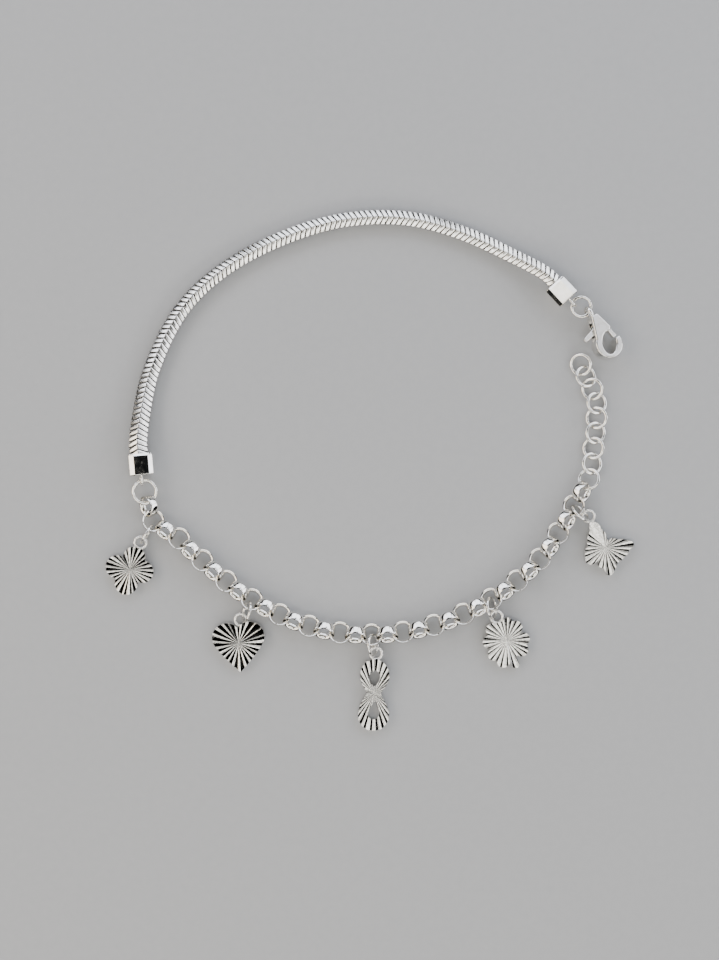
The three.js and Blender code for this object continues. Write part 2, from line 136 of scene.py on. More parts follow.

# %% [markdown]
# ## Silver
#
# Sterling silver is the whitest of metals: it returns about nine tenths of the light, and a little more of
# the red than of the blue, so it is very slightly warm. What tells one silver part from another is how it
# was finished. A tumbled link is almost a mirror with soft dents; a ray-cut charm has satin ridges between
# bright cuts. Here the cuts' grooves and the joints between the snake chain's plates are painted dark:
# painted shade, in place of the dark they reflect or lie in. These could be three materials built by hand,
# but they differ only in numbers, so one function makes them. A "recess" value on the mesh says where a
# groove is, and so where the shade is painted.

# %% A silver finish
def silver(name, colour, worn_colour, shine, dent_mm, dent_depth_mm, groove=None):
    """Silver whose dents are a little duller. A groove is the colour and roughness of its recesses; the
    colour is painted shade.
    """
    material = bpy.data.materials.new(name)
    material.use_nodes = True
    tree = material.node_tree
    shader = tree.nodes["Principled BSDF"]
    shader.inputs["Metallic"].default_value = 1.0
    place = node(tree, "ShaderNodeTexCoord").outputs["Object"]
    dents = node(tree, "ShaderNodeTexNoise", {"Vector": place, "Scale": 1 / (dent_mm * MM), "Detail": 3.0})
    wear = node(tree, "ShaderNodeMapRange", {
        "Value": dents.outputs["Fac"], "From Min": 0.35, "From Max": 0.65,
    }).outputs[0]
    rough = node(tree, "ShaderNodeMix", {"Factor": wear, NUMBER_A: shine[0], NUMBER_B: shine[1]})
    tone = node(tree, "ShaderNodeMix", {
        "Factor": wear, COLOUR_A: linear(colour), COLOUR_B: linear(worn_colour),
    }, data_type="RGBA")
    # The recesses take the groove's darker colour, as painted shade.
    if groove:
        recess = node(tree, "ShaderNodeAttribute", attribute_name="recess").outputs["Fac"]
        rough = node(tree, "ShaderNodeMix", {
            "Factor": recess, NUMBER_A: rough.outputs[MIXED_NUMBER], NUMBER_B: groove[1],
        })
        tone = node(tree, "ShaderNodeMix", {
            "Factor": recess, COLOUR_A: tone.outputs[MIXED_COLOUR], COLOUR_B: linear(groove[0]),
        }, data_type="RGBA")
    bump = node(tree, "ShaderNodeBump", {"Height": dents.outputs["Fac"], "Distance": dent_depth_mm * MM})
    tree.links.new(rough.outputs[MIXED_NUMBER], shader.inputs["Roughness"])
    tree.links.new(tone.outputs[MIXED_COLOUR], shader.inputs["Base Color"])
    tree.links.new(bump.outputs["Normal"], shader.inputs["Normal"])
    return material


# %% [markdown]
# The numbers are a clean and a worn colour, the roughness of each, and the dents' width and depth. The
# dents are a few thousandths of a millimetre deep: enough to make a reflection waver, not enough to be
# seen.

# %% The three finishes of the bracelet
# Tumbled and polished: rings, links, caps and the clasp. Nearly a mirror, so its edges flash.
BRIGHT = silver("polished_sterling_silver", "f5f3ef", "e9e6df", (0.05, 0.13), 0.9, 0.004)
# Rolled and polished plates of the snake chain, a softer shine, with painted shade in the joints between
# them.
SCALES = silver("snake_chain_silver", "f3f2ef", "e2e0da", (0.12, 0.24), 0.5, 0.004, groove=("4c4a45", 0.3))
# Diamond-cut charms: satin lands that look evenly white, and grooves that gleam like glass. The grooves are
# painted near black: a painted dark reflection.
CUT = silver("ray_cut_silver", "f2f1ee", "dedcd6", (0.2, 0.34), 0.25, 0.008, groove=("1c1b18", 0.15))
print("finishes:", [material.name for material in (BRIGHT, SCALES, CUT)])

# %% [markdown]
# ## From a list of points to a finished piece
#
# A piece is made in its own frame, in millimetres, and then moved to its place. Its faces are shaded
# smooth, except over the edges that are sharp on the real one, so a round wire needs only a few sides.

# %% Meshes and objects
def soften(mesh, sharp):
    """Smooth shading, but for edges that are sharper than the angle in degrees."""
    mesh.polygons.foreach_set("use_smooth", [True] * len(mesh.polygons))
    mesh.set_sharp_from_angle(angle=math.radians(sharp))


def mesh_from(name, points, faces, material, sharp=35.0, recess=None):
    """A mesh from points and outward faces, with a recess value at each point where it has any."""
    mesh = bpy.data.meshes.new(name)
    mesh.from_pydata([tuple(p) for p in points], [], faces)
    if recess is not None:
        mesh.attributes.new("recess", "FLOAT", "POINT").data.foreach_set("value", recess)
    mesh.materials.append(material)
    soften(mesh, sharp)
    return mesh


def object_from(name, mesh, place=Matrix()):
    """An object at the origin whose mesh, made in millimetres, is moved to its place in metres."""
    mesh.transform(Matrix.Scale(MM, 4) @ place)
    made = bpy.data.objects.new(name, mesh)
    scene.collection.objects.link(made)
    return made


def join(name, meshes, place=Matrix()):
    """Several meshes as one object."""
    builder = bmesh.new()
    for mesh in meshes:
        builder.from_mesh(mesh)
    joined = bpy.data.meshes.new(name)
    builder.to_mesh(joined)
    builder.free()
    joined.materials.append(meshes[0].materials[0])
    return object_from(name, joined, place)


# %% [markdown]
# ## Keeping a piece
#
# A finished piece stands for one or more parts of the imported model, which it hides, and is carried by one
# moving body. All but the clasp's lever ride on the bracelet itself.

# %% Keep a piece
def keep(piece, slot, *nodes, body="bracelet"):
    """Hides the parts that a finished piece stands for, hangs it on its body and prints its size."""
    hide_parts(*nodes)
    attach(piece, body)
    size = [round(d / MM, 2) for d in piece.dimensions]
    print(f"{piece.name}: {len(piece.data.polygons)} faces, {size} mm")
    return piece


# %% [markdown]
# ## Growing pieces with Geometry Nodes
#
# Rings, links and plates repeat. A loop in Python could copy them, but a node tree does the same in a
# form that can be opened, read and used again. Every tree starts with named inputs for its sizes and ends
# by making its instances real and giving them a material. Then it is run once: each input is set by its
# socket's identifier before the object is first evaluated, and the result is kept as a plain mesh.

# %% Trees with named inputs
def sized_tree(name, inputs):
    """A geometry tree with the named inputs. Returns it, its input sockets and a function that ends it."""
    tree = bpy.data.node_groups.new(name, "GeometryNodeTree")
    tree.interface.new_socket("Geometry", in_out="OUTPUT", socket_type="NodeSocketGeometry")
    for label, kind in inputs.items():
        tree.interface.new_socket(label, in_out="INPUT", socket_type="NodeSocket" + kind)
    start = node(tree, "NodeGroupInput")

    def end(geometry, material):
        real = node(tree, "GeometryNodeRealizeInstances", {"Geometry": geometry})
        painted = node(tree, "GeometryNodeSetMaterial", {"Geometry": real.outputs[0], "Material": material})
        node(tree, "NodeGroupOutput", {"Geometry": painted.outputs[0]})
        print(f"tree {name}: {len(tree.nodes)} nodes, inputs {list(inputs)}")

    return tree, start.outputs, end


def plain_mesh(carrier):
    """What an object's modifiers make of it, as a plain mesh. The object is removed."""
    bpy.context.view_layer.update()
    made = bpy.data.meshes.new_from_object(carrier.evaluated_get(bpy.context.evaluated_depsgraph_get()))
    bpy.data.objects.remove(carrier)
    return made


def grow(name, tree, values, seed=None):
    """Runs a tree, on a seed mesh where it needs one, and returns the mesh that it makes."""
    carrier = bpy.data.objects.new(name, seed or bpy.data.meshes.new(name))
    scene.collection.objects.link(carrier)
    modifier = carrier.modifiers.new("grow", "NODES")
    modifier.node_group = tree
    for item in tree.interface.items_tree:
        if item.in_out == "INPUT" and item.name in values:
            modifier[item.identifier] = values[item.name]
    return plain_mesh(carrier)


# %% [markdown]
# ## Rings
#
# A jump ring is round wire wound on a rod and cut; a rolo link is the same with a strip that is flat
# inside and domed outside. A torus would do for the first but not for the second, so one tree makes both:
# a circle swept by a closed section. "Flat" takes its share off the section's inner half, so 0 is a round
# wire and 1 a half-round strip.

# %% The ring tree
def ring_tree():
    tree, given, end = sized_tree("ring_from_section", {
        "Radius": "Float", "Depth": "Float", "Band": "Float", "Flat": "Float", "Sides": "Int",
        "Section Sides": "Int", "Material": "Material",
    })
    path = node(tree, "GeometryNodeCurvePrimitiveCircle", {
        "Resolution": given["Sides"], "Radius": given["Radius"],
    })
    wire = node(tree, "GeometryNodeCurvePrimitiveCircle", {
        "Resolution": given["Section Sides"], "Radius": 1.0,
    })
    at = node(tree, "ShaderNodeSeparateXYZ", {0: node(tree, "GeometryNodeInputPosition").outputs[0]})
    value = {label: given[label] for label in ("Flat", "Depth", "Band")}
    value |= {"x": at.outputs["X"], "y": at.outputs["Y"]}
    # The inner half shrinks to the share that isn't flat. The whole is centred and stretched to its depth.
    for name, operation, first, second in (
        ("kept", "SUBTRACT", 1.0, "Flat"),
        ("inside", "MAXIMUM", "x", 0.0),
        ("inside", "MULTIPLY", "inside", "kept"),
        ("outside", "MINIMUM", "x", 0.0),
        ("across", "ADD", "inside", "outside"),
        ("middle", "SUBTRACT", "kept", 1.0),
        ("middle", "MULTIPLY", "middle", 0.5),
        ("reach", "ADD", "kept", 1.0),
        ("scale", "DIVIDE", "Depth", "reach"),
        ("across", "SUBTRACT", "across", "middle"),
        ("x", "MULTIPLY", "across", "scale"),
        ("half band", "MULTIPLY", "Band", 0.5),
        ("y", "MULTIPLY", "y", "half band"),
    ):
        inputs = {0: value.get(first, first), 1: value.get(second, second)}
        value[name] = node(tree, "ShaderNodeMath", inputs, operation=operation).outputs[0]
    shape = node(tree, "ShaderNodeCombineXYZ", {"X": value["x"], "Y": value["y"]})
    section = node(tree, "GeometryNodeSetPosition", {
        "Geometry": wire.outputs[0], "Position": shape.outputs[0],
    })
    swept = node(tree, "GeometryNodeCurveToMesh", {
        "Curve": path.outputs[0], "Profile Curve": section.outputs[0],
    })
    end(swept.outputs[0], given["Material"])
    return tree


RING = ring_tree()

# %% [markdown]
# One call now makes any ring. Fifty-six steps round it and fourteen about the wire are plenty for a ring
# of a few millimetres.

# %% One ring
def ring_mesh(radius, depth, band=None, flat=0.0, sides=56, section_sides=14):
    """A ring about +Z: radius to the middle of its wall, depth through the wall, band along the axis."""
    mesh = grow("ring", RING, {
        "Radius": radius, "Depth": depth, "Band": band or depth, "Flat": flat, "Sides": sides,
        "Section Sides": section_sides, "Material": BRIGHT,
    })
    soften(mesh, 40)
    return mesh


# %% [markdown]
# ## Jump rings and the extension
#
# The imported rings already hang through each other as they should, so they needn't be hung again. Each
# fine ring takes its place from its node: the middle of the node's points, and as its axis the direction
# in which the node is thinnest, which a singular value decomposition finds.

# %% A fine ring in each ring's place
# Radius to the middle of the wire, and the wire's thickness.
WIRE = {
    "cap_ring": (1.6, 0.5), "clasp_ring": (1.36, 0.48), "extension_ring": (1.41, 0.48),
    "charm_ring": (1.45, 0.38),
}


def place_of_round(name):
    """The place of a flat round node, from its own points."""
    points = np.array([vertex.co for vertex in frame["nodes"][name].data.vertices]) / MM
    middle = points.mean(0)
    axis = Vector(np.linalg.svd(points - middle, full_matrices=False)[2][2])
    if axis.z < 0:
        axis.negate()
    return Matrix.Translation(Vector(middle)) @ axis.to_track_quat("Z", "Y").to_matrix().to_4x4()


def jump_ring(name, wire):
    ring = object_from(name + "_wire", ring_mesh(*WIRE[wire]), place_of_round(name))
    return keep(ring, "bright_silver", name)


jump_ring("cap_ring_left", "cap_ring")
jump_ring("cap_ring_right", "clasp_ring")
for number in range(1, 10):
    jump_ring(f"extension_ring_{number}", "extension_ring")
for charm in ("quatrefoil", "heart", "infinity", "clover", "butterfly"):
    jump_ring(f"charm_ring_{charm}", "charm_ring")

# %% [markdown]
# ## Routes
#
# Both chains follow smooth lines through a few points. A Bezier curve would need two handles at each of
# them. A centripetal Catmull-Rom spline needs none: it passes through every point without loops or
# overshoot, like a chain pulled gently straight.

# %% A smooth line through points
def through(points, steps=24):
    """Points close together along a centripetal Catmull-Rom spline."""
    p = [np.array(q, float) for q in points]
    p = [2 * p[0] - p[1], *p, 2 * p[-1] - p[-2]]
    line = []
    for a, b, c, d in zip(p, p[1:], p[2:], p[3:]):
        ab, bc, cd = (math.sqrt(np.linalg.norm(v - u)) for u, v in ((a, b), (b, c), (c, d)))
        leave = ((b - a) / ab - (c - a) / (ab + bc) + (c - b) / bc) * bc
        arrive = ((c - b) / bc - (d - b) / (bc + cd) + (d - c) / cd) * bc
        for t in np.linspace(0, 1, steps, endpoint=False):
            line.append((2 * t**3 - 3 * t**2 + 1) * b + (t**3 - 2 * t**2 + t) * leave
                        + (3 * t**2 - 2 * t**3) * c + (t**3 - t**2) * arrive)
    return np.array([*line, p[-2]])


def lengths_along(line):
    return np.concatenate([[0], np.cumsum(np.linalg.norm(np.diff(line, axis=0), axis=1))])


def seed_line(name, line, half_widths=None):
    """A mesh of edges along a line, with the chain's half width at each point where it varies."""
    mesh = bpy.data.meshes.new(name)
    mesh.from_pydata([tuple(q) for q in line], [(i, i + 1) for i in range(len(line) - 1)], [])
    if half_widths is not None:
        mesh.attributes.new("half_width", "FLOAT", "POINT").data.foreach_set("value", half_widths)
    return mesh


print("a line through three points has", len(through([(0, 0, 0), (1, 1, 0), (2, 0, 0)])), "points")

# %% [markdown]
# ## The rolo chain
#
# Rolo links are alike, and each is turned about a quarter on the one before. On a table they can't stand
# upright: one link lies almost flat and the next leans, and so on by turns. An Array modifier can't take
# turns, so a tree places a link at equal steps along the route, turns it to the route's direction, and
# rolls and lifts it by whether its number is even.

# %% The rolo tree
def rolo_tree():
    tree, given, end = sized_tree("rolo_chain", {
        "Route": "Geometry", "Count": "Int", "Even Roll": "Float", "Odd Roll": "Float",
        "Even Height": "Float", "Odd Height": "Float", "Radius": "Float", "Depth": "Float", "Band": "Float",
        "Flat": "Float", "Sides": "Int", "Section Sides": "Int", "Material": "Material",
    })
    curve = node(tree, "GeometryNodeMeshToCurve", {"Mesh": given["Route"]})
    steps = node(tree, "GeometryNodeResampleCurve", {"Curve": curve.outputs[0], "Count": given["Count"]})
    number = node(tree, "GeometryNodeInputIndex").outputs[0]
    odd = node(tree, "ShaderNodeMath", {0: number, 1: 2.0}, operation="MODULO").outputs[0]
    roll, height = (node(tree, "ShaderNodeMix", {
        "Factor": odd, NUMBER_A: given["Even " + which], NUMBER_B: given["Odd " + which],
    }).outputs[MIXED_NUMBER] for which in ("Roll", "Height"))
    lift = node(tree, "ShaderNodeCombineXYZ", {"Z": height})
    raised = node(tree, "GeometryNodeSetPosition", {
        "Geometry": steps.outputs[0], "Offset": lift.outputs[0],
    })
    level = node(tree, "FunctionNodeAlignRotationToVector", {
        "Vector": node(tree, "GeometryNodeInputTangent").outputs[0],
    }, axis="X")
    rolled = node(tree, "FunctionNodeAxisAngleToRotation", {"Axis": (1.0, 0.0, 0.0), "Angle": roll})
    turn = node(tree, "FunctionNodeRotateRotation", {
        "Rotation": level.outputs[0], "Rotate By": rolled.outputs[0],
    }, rotation_space="LOCAL")
    link = node(tree, "GeometryNodeGroup", node_tree=RING)
    for label in ("Radius", "Depth", "Band", "Flat", "Sides", "Section Sides", "Material"):
        tree.links.new(given[label], link.inputs[label])
    links = node(tree, "GeometryNodeInstanceOnPoints", {
        "Points": raised.outputs[0], "Instance": link.outputs[0], "Rotation": turn.outputs[0],
    })
    end(links.outputs[0], given["Material"])
    return tree


ROLO = rolo_tree()

# %% [markdown]
# The route runs from the left cap's jump ring, down and round to the extension. The links on it are
# closer together than a link's opening is wide, so each passes through the next.

# %% The rolo chain's links
ROLO_ROUTE = [
    (-30.75, -4.85), (-30.2, -6.95), (-26.9, -9.2), (-23.8, -12.1), (-17.0, -17.6), (-8.5, -21.6),
    (-0.15, -22.8), (8.8, -21.5), (16.9, -17.8), (23.5, -12.4), (28.3, -4.9), (29.35, -2.9),
]
# A link's wall is a strip 1.1 mm wide and 0.4 mm thick, almost flat inside.
LINK = {"Radius": 1.36, "Depth": 0.4, "Band": 1.1, "Flat": 0.85, "Sides": 48, "Section Sides": 16}
LINKS = 35
rolo_line = through([(x, y, 0) for x, y in ROLO_ROUTE])
rolo_mesh = grow("rolo", ROLO, {
    "Count": LINKS, "Even Roll": math.radians(58), "Odd Roll": math.radians(-18), "Even Height": 1.55,
    "Odd Height": 1.4, **LINK, "Material": BRIGHT,
}, seed_line("rolo_route", rolo_line))
soften(rolo_mesh, 40)
keep(object_from("rolo_links", rolo_mesh), "bright_silver", "rolo_chain")
rolo_length = lengths_along(rolo_line)[-1]
link_opening = 2 * LINK["Radius"] - LINK["Depth"]
print(f"rolo route: {rolo_length:.1f} mm, a link every {rolo_length / (LINKS - 1):.2f} mm")
print(f"a link's opening: {link_opening:.2f} mm")

# %% [markdown]
# ## The snake chain
#
# A snake chain is a tube of thin zigzag plates that slide over each other. This one is squashed to a
# ridged section, so each plate shows as a chevron whose point runs ahead of its sides. Stripes in a bump
# map would look flat, because a real plate catches the light along its own edge. So one plate is modelled
# as a few rings of a hexagon with its ridges up and down. "recess" marks the joint between two plates.

# %% One plate
PITCH = 0.72
CHEVRON = 0.5
# Along the chain: x in millimetres, share of the full section, and how deep in the joint the ring lies.
# The last is how much painted shade the ring gets.
PLATE_RINGS = [
    (0.0, 0.84, 1.0), (0.03, 0.95, 0.6), (0.07, 1.0, 0.0), (0.42, 0.985, 0.0), (0.57, 0.965, 0.0),
    (0.63, 0.94, 0.4), (0.66, 0.84, 1.0), (0.76, 0.82, 1.0),
]


def ridged_section(soft=0.08, side=0.4):
    """A hexagon of unit half width and height whose flat sides reach up by a share, its corners rounded."""
    corners = [Vector(c) for c in ((0, 1), (-1, side), (-1, -side), (0, -1), (1, -side), (1, side))]
    section = []
    for before, corner, after in zip(corners[-1:] + corners, corners, corners[1:] + corners):
        start, stop = corner.lerp(before, soft), corner.lerp(after, soft)
        for t in (0.0, 0.33, 0.67, 1.0):
            section.append(start.lerp(corner, t).lerp(corner.lerp(stop, t), t))
    return section


def plate_mesh():
    section = ridged_section()
    sides, last = len(section), (len(PLATE_RINGS) - 1) * len(section)
    points, recess = [], []
    for x, share, depth in PLATE_RINGS:
        for y, z in section:
            points.append((x + CHEVRON * (1 - min(1, abs(y))), y * share, z * share))
            recess.append(depth)
    faces = []
    for first in range(0, last, sides):
        for j in range(sides):
            k = (j + 1) % sides
            faces.append((first + j, first + k, first + sides + k, first + sides + j))
    faces += [tuple(reversed(range(sides))), tuple(range(last, last + sides))]
    return mesh_from("plate", points, faces, SCALES, 28, recess)


plate = bpy.data.objects.new("plate", plate_mesh())
print("one plate:", len(plate.data.polygons), "faces, every", PITCH, "mm")

# %% [markdown]
# An Array modifier with a Curve modifier would bend every plate, and a real one stays stiff. So a tree
# repeats the plate along the route: it keeps each one upright, points it along the route, and sizes it by
# the half width that the route carries, so the chain can be wider near the left cap.

# %% The snake tree
def snake_tree():
    tree, given, end = sized_tree("snake_chain", {
        "Route": "Geometry", "Count": "Int", "Plate": "Object", "Height Share": "Float",
        "Material": "Material",
    })
    curve = node(tree, "GeometryNodeMeshToCurve", {"Mesh": given["Route"]})
    steps = node(tree, "GeometryNodeResampleCurve", {"Curve": curve.outputs[0], "Count": given["Count"]})
    along = node(tree, "FunctionNodeAlignRotationToVector", {
        "Vector": node(tree, "GeometryNodeInputTangent").outputs[0],
    }, axis="X")
    upright = node(tree, "FunctionNodeAlignRotationToVector", {
        "Rotation": along.outputs[0], "Vector": (0.0, 0.0, 1.0),
    }, axis="Z", pivot_axis="X")
    width = node(tree, "GeometryNodeInputNamedAttribute", {
        "Name": "half_width",
    }, data_type="FLOAT").outputs[0]
    height = node(tree, "ShaderNodeMath", {0: width, 1: given["Height Share"]}, operation="MULTIPLY")
    size = node(tree, "ShaderNodeCombineXYZ", {"X": 1.0, "Y": width, "Z": height.outputs[0]})
    shape = node(tree, "GeometryNodeObjectInfo", {"Object": given["Plate"]})
    plates = node(tree, "GeometryNodeInstanceOnPoints", {
        "Points": steps.outputs[0], "Instance": shape.outputs["Geometry"], "Rotation": upright.outputs[0],
        "Scale": size.outputs[0],
    })
    end(plates.outputs[0], given["Material"])
    return tree


SNAKE = snake_tree()

# %% [markdown]
# The chain leaves each end cap straight, at the cap's height, and sinks to the table over the next
# centimetre. So the route starts from the caps: where each one lies, which way it heads and how far it is
# rolled.

# %% The snake chain's route
CAP_HEIGHT = (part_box("end_cap_left")[1].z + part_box("end_cap_left")[0].z) / 2 / MM
# x, y, heading, roll
CAPS = {"end_cap_left": (-31.95, 0.9, -85.0, -11.5), "end_cap_right": (26.6, 25.0, -47.0, 11.5)}
CAP_LENGTH = 3.0
# The chain starts this far inside a cap's back and has left it straight by this far outside.
ENTRY = 0.6
STRAIGHT = 1.5
SNAKE_ROUTE = [
    (-31.92, 7.0), (-30.5, 13.8), (-26.3, 22.3), (-20.8, 27.7), (-12.6, 32.2), (-3.5, 34.9), (5.1, 35.1),
    (12.5, 33.2), (19.9, 29.8),
]


def on_cap_axis(name, outward):
    """A point on a cap's axis, so far outside its open back."""
    x, y, heading, _ = CAPS[name]
    back = CAP_LENGTH / 2 + outward
    return (x - back * math.cos(math.radians(heading)), y - back * math.sin(math.radians(heading)))


plan = (
    on_cap_axis("end_cap_left", -ENTRY), on_cap_axis("end_cap_left", STRAIGHT), *SNAKE_ROUTE,
    on_cap_axis("end_cap_right", STRAIGHT), on_cap_axis("end_cap_right", -ENTRY),
)
snake_line = through([(x, y, 0) for x, y in plan])
along = lengths_along(snake_line)
plate_count = round(along[-1] / PITCH)
print("snake chain:", round(along[-1], 1), "mm,", plate_count, "plates")
print("the caps' middles are at", round(CAP_HEIGHT, 2), "mm")

# %% [markdown]
# The chain's width tapers evenly from the left cap over three centimetres. Half its height, a little less
# than half its width, is also how high its middle runs where it lies on the table.

# %% The snake chain's plates
WIDTH = 2.1
WIDER_AT_LEFT = 0.6
TAPER = 30
HEIGHT_SHARE = 0.92
RAMP = 11.0
half_widths = (WIDTH + WIDER_AT_LEFT * np.clip(1 - along / TAPER, 0, None)) / 2
near_end = np.clip(np.minimum(along, along[-1] - along) / RAMP, 0, 1)
level = near_end**2 * (3 - 2 * near_end)
snake_line[:, 2] = CAP_HEIGHT + (half_widths * HEIGHT_SHARE - CAP_HEIGHT) * level
snake_mesh = grow("snake", SNAKE, {
    "Count": plate_count, "Plate": plate, "Height Share": HEIGHT_SHARE, "Material": SCALES,
}, seed_line("snake_route", snake_line, half_widths))
keep(object_from("snake_plates", snake_mesh), "snake_silver", "snake_chain")
bpy.data.objects.remove(plate)

# %% [markdown]
# ## The end caps
#
# A box cap is folded from sheet: its long edges are filed to bevels, the chain is soldered into its open
# back, and a small eye of wire stands on its front. A cube with a Bevel modifier has the same bevel
# everywhere, and these are wider on the broad faces than on the side walls. So the walls are one loft of
# eight-sided rings, from the front face over the outside and down into the socket.

# %% The cap's loft
CAP_SIZE = 3.25
SOCKET_DEPTH = 0.9
# The long edges' bevels, as measured across the broad faces and down the side walls.
ACROSS = 0.62
DOWN = 0.34
# A finer bevel runs round both ends: this wide, and at the back this long.
RIM = 0.14
LIP = 0.3
# The socket's own corners are hardly cut.
SOCKET_CORNER = 0.05


def cap_section(half, across, down):
    """A square with its corners cut off, by one length along the broad faces and another down the sides."""
    broad, side = half - across, half - down
    return [(half, -side), (half, side), (broad, half), (-broad, half), (-half, side), (-half, -side),
            (-broad, -half), (broad, -half)]


def cap_mesh(mouth_width):
    half, front, mouth = CAP_SIZE / 2, CAP_LENGTH / 2, mouth_width / 2
    rings = [
        (front, half - RIM, ACROSS - RIM, DOWN - RIM), (front - RIM, half, ACROSS, DOWN),
        (LIP - front, half, ACROSS, DOWN), (-front, half - RIM, ACROSS - RIM, DOWN - RIM),
        (-front, mouth, SOCKET_CORNER, SOCKET_CORNER),
        (SOCKET_DEPTH - front, mouth, SOCKET_CORNER, SOCKET_CORNER),
    ]
    points = [(x, y, z) for x, *shape in rings for y, z in cap_section(*shape)]
    faces = [(i * 8 + j, i * 8 + (j + 1) % 8, i * 8 + 8 + (j + 1) % 8, i * 8 + 8 + j)
             for i in range(len(rings) - 1) for j in range(8)]
    faces += [tuple(range(7, -1, -1)), tuple(range(len(points) - 8, len(points)))]
    return mesh_from("cap", points, faces, BRIGHT, 20)


# %% [markdown]
# No filed edge is as sharp as a knife, and its fine rounding is what flashes. A Bevel node in the
# material could fake that, but only in a render, so a Bevel modifier rounds the mesh. Weighted normals
# lean towards the large faces, so those still look flat.

# %% Rounded edges
def finished(mesh, width_mm, segments=2, sharp=30.0, clamp=True):
    """The mesh with its edges rounded, as a plain mesh, still in millimetres."""
    carrier = bpy.data.objects.new("carrier", mesh)
    scene.collection.objects.link(carrier)
    bevel = carrier.modifiers.new("edges", "BEVEL")
    bevel.width = width_mm
    bevel.segments = segments
    bevel.limit_method = "ANGLE"
    bevel.angle_limit = math.radians(sharp)
    bevel.use_clamp_overlap = clamp
    normals = carrier.modifiers.new("normals", "WEIGHTED_NORMAL")
    normals.keep_sharp = True
    return plain_mesh(carrier)


# %% [markdown]
# Each cap is the loft with an eye: a ring of wire that stands upright, its root sunk in the front. The
# chain is wider at the left cap, so that cap's mouth is wider too.

# %% Both caps, each with its eye
# The middle of the eye stands this far in front of the cap.
EYE_REACH = 0.55


def cap(node_name, name, mouth_width):
    x, y, heading, roll = CAPS[node_name]
    eye = ring_mesh(0.8, 0.4, sides=40)
    upright = Matrix.Rotation(math.pi / 2, 4, "X")
    eye.transform(Matrix.Translation((CAP_LENGTH / 2 + EYE_REACH, 0, 0)) @ upright)
    walls = finished(cap_mesh(mouth_width), 0.05)
    made = join(name, [walls, eye], placing(x, y, CAP_HEIGHT, heading, roll))
    return keep(made, "bright_silver", node_name)


cap("end_cap_left", "left_cap", 2.82)
cap("end_cap_right", "right_cap", 2.37)

# %% [markdown]
# ## Flat outlines made thick
#
# The clasp and the charms are flat things with busy outlines. Drawing a curve and giving it depth would
# do, but they are also sawn, drilled and cut, so each is a closed mesh that a Boolean modifier can work
# on.

# %% Slabs, and cutting one with another
def arc(middle, radii, start, stop, steps, turn=0.0):
    """Points along an arc of a circle or ellipse, from one angle in degrees to another."""
    points = []
    for angle in np.radians(np.linspace(start, stop, steps + 1)):
        x, y = radii[0] * math.cos(angle), radii[1] * math.sin(angle)
        c, s = math.cos(math.radians(turn)), math.sin(math.radians(turn))
        points.append((middle[0] + x * c - y * s, middle[1] + x * s + y * c))
    return points


def slab(name, outline, thickness, middle=0.0):
    """A flat outline made solid, half of its thickness on each side of the middle."""
    count = len(outline)
    points = [(x, y, middle + side * thickness / 2) for side in (-1, 1) for x, y in outline]
    faces = [(i, (i + 1) % count, count + (i + 1) % count, count + i) for i in range(count)]
    faces += [tuple(reversed(range(count))), tuple(range(count, 2 * count))]
    mesh = mesh_from(name, points, faces, BRIGHT)
    builder = bmesh.new()
    builder.from_mesh(mesh)
    bmesh.ops.recalc_face_normals(builder, faces=builder.faces)
    builder.to_mesh(mesh)
    builder.free()
    return mesh


def disc(middle, radius, thickness, steps=32):
    return slab("disc", arc(middle, (radius, radius), 0, 360 - 360 / steps, steps - 1), thickness)


def combine(mesh, tool, operation="DIFFERENCE"):
    """The mesh with another one cut out of it, or what the two share."""
    blade = bpy.data.objects.new("blade", tool)
    carrier = bpy.data.objects.new("carrier", mesh)
    for each in (blade, carrier):
        scene.collection.objects.link(each)
    boolean = carrier.modifiers.new("cut", "BOOLEAN")
    boolean.object = blade
    boolean.operation = operation
    boolean.solver = "EXACT"
    made = plain_mesh(carrier)
    bpy.data.objects.remove(blade)
    soften(made, 25)
    return made


# %% [markdown]
# ## The clasp
#
# A lever clasp is cast in one piece: a wedge that widens from its eye to a shoulder and ends in a round
# hook. A sawn slot takes the lever, which turns on a rivet. Here the body is an outline made thick with
# generously rounded edges, and the slot is cut after the rounding, as the saw does it.

# %% The clasp's body
CLASP_TURN = placing(heading=-62.5, roll=-18.0)
PIVOT = (3.0, 0.25)
BODY_THICK = 2.0
SLOT_WIDE = 1.0
RIVET_RADIUS = 0.28
hook_outline = [
    (1.4, 0.5), (1.4, -0.5), *arc((6.0, 0.0), (2.0, 2.0), -135, 105, 48),
    *arc((5.83, 0.12), (1.6, 1.03), 110, -190, 56, -24.5), (3.85, 1.42),
]
clasp_body = slab("clasp", hook_outline, BODY_THICK)
clasp_body = finished(clasp_body, 0.2, segments=4, sharp=40, clamp=False)
slot = slab("slot", [(1.95, -3), (4.75, -3), (4.75, 3), (1.95, 3)], SLOT_WIDE)
clasp_body = finished(combine(clasp_body, slot), 0.03, segments=1, sharp=50)
rivet = finished(disc(PIVOT, RIVET_RADIUS, BODY_THICK - 0.02), 0.04)
clasp_eye = ring_mesh(0.81, 0.38, 0.5, flat=0.4, sides=40)
clasp_eye.transform(Matrix.Translation((0.9, -0.2, 0)) @ Matrix.Rotation(math.pi / 2, 4, "X"))
hinge = next(joint for joint in frame["joints"] if joint["name"] == "clasp_lever_hinge")
at_pivot = Matrix.Translation(Vector(hinge["pos_m"]) / MM)
clasp_place = at_pivot @ CLASP_TURN @ Matrix.Translation((-PIVOT[0], -PIVOT[1], 0))
keep(join("clasp_hook", [clasp_body, rivet, clasp_eye], clasp_place), "bright_silver", "clasp_body")

# %% [markdown]
# The lever's upper arm closes the hook's mouth and its lower arm is the thumb tab. Its hole is wider than
# the rivet and it is thinner than the slot, so it swings free.

